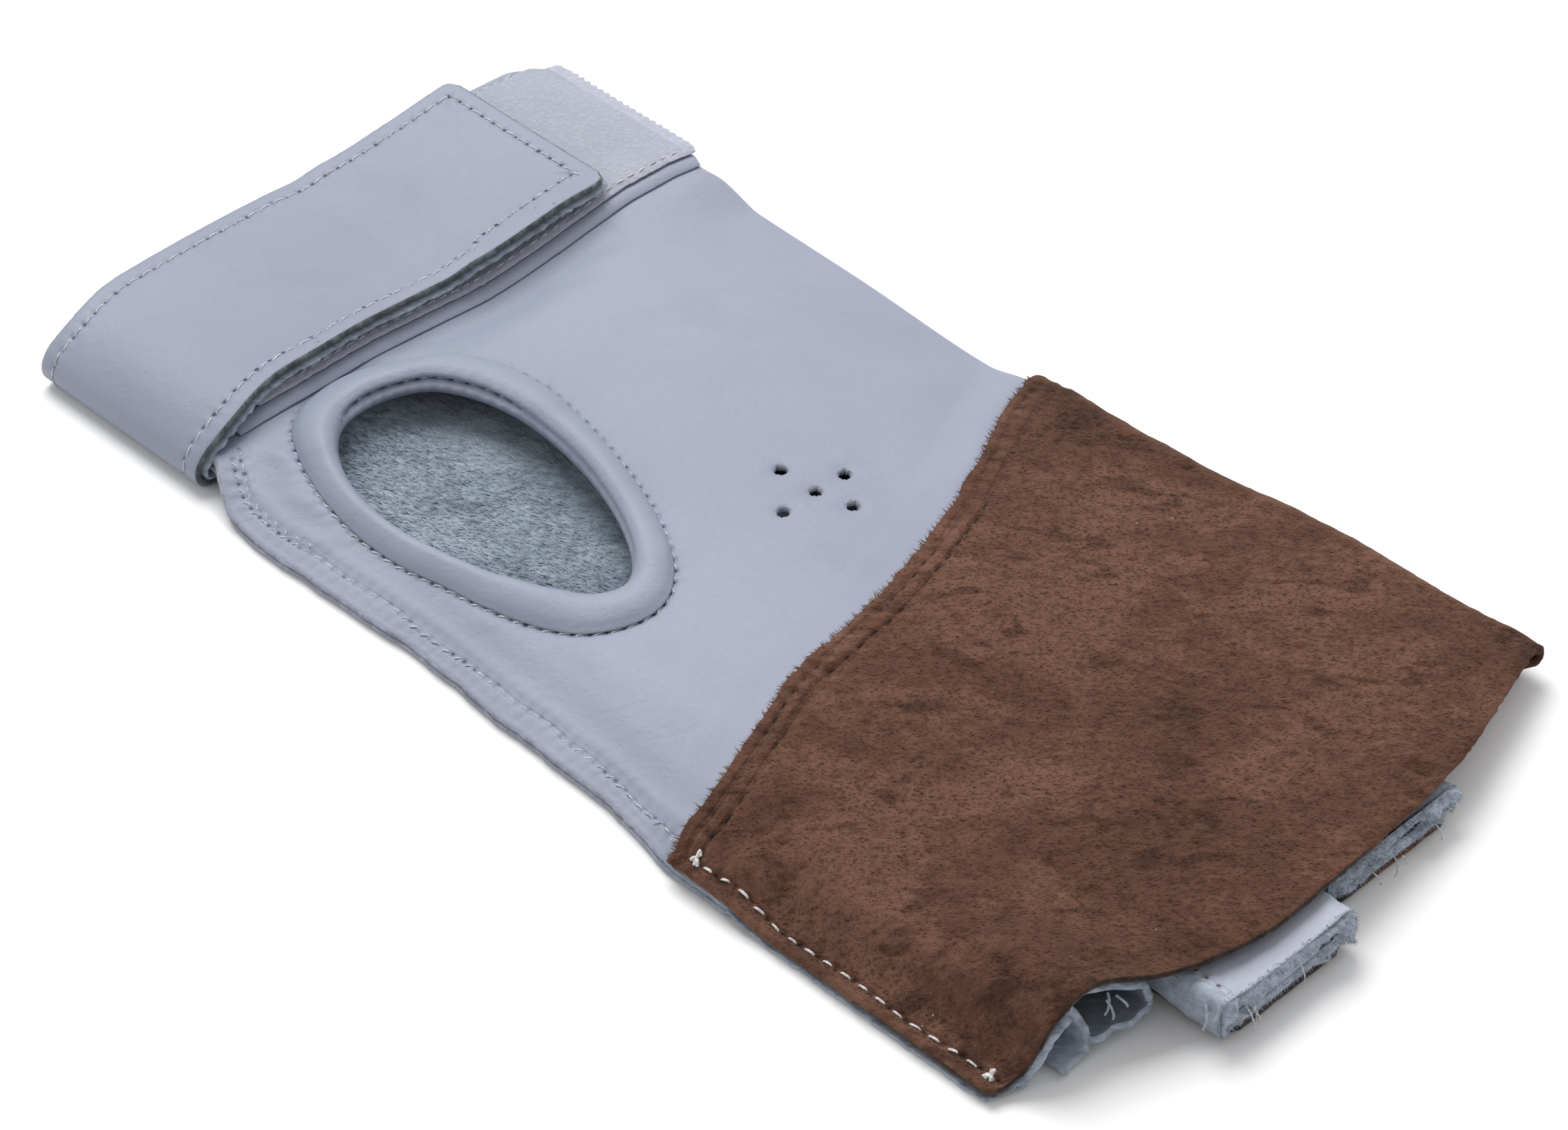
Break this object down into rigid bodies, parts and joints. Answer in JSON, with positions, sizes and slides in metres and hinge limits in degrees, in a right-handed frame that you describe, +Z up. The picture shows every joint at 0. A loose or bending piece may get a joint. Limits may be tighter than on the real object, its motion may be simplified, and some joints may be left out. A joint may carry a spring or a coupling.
{
  "type": "bowling glove",
  "caption": "Fingerless leather bowling glove lying flat, with bound thumb hole, hook-and-loop wrist strap and suede cover over half-finger stalls.",
  "frame": {"origin": "middle of the underside of the whole glove as it lies flat", "axes": "+X from the cuff to the fingers, +Y from the sewn edge to the folded edge, +Z up from the surface it lies on"},
  "size_m": [0.2426, 0.1284, 0.0138],
  "materials": {
    "grey_leather": "smooth pale lavender-grey grain leather, semi-matte",
    "rough_leather": "rough grey flesh side and raw cut edges, matte",
    "fastening_tape": "pale looped nap of hook-and-loop tape, matte",
    "brown_suede": "mottled brown suede with a directional nap, matte"
  },
  "bodies": {
    "root": {"hand_wrap": "grey_leather", "thumb_binding": "grey_leather", "cuff_band": "grey_leather", "loop_tape": "fastening_tape", "wrist_strap": "grey_leather", "strap_lining": "rough_leather", "hook_tape": "fastening_tape", "suede_cover": "brown_suede", "index_gusset": "rough_leather", "index_stall": "rough_leather", "middle_stall": "rough_leather", "ring_stall": "rough_leather", "little_stall": "rough_leather"}
  },
  "joints": []
}
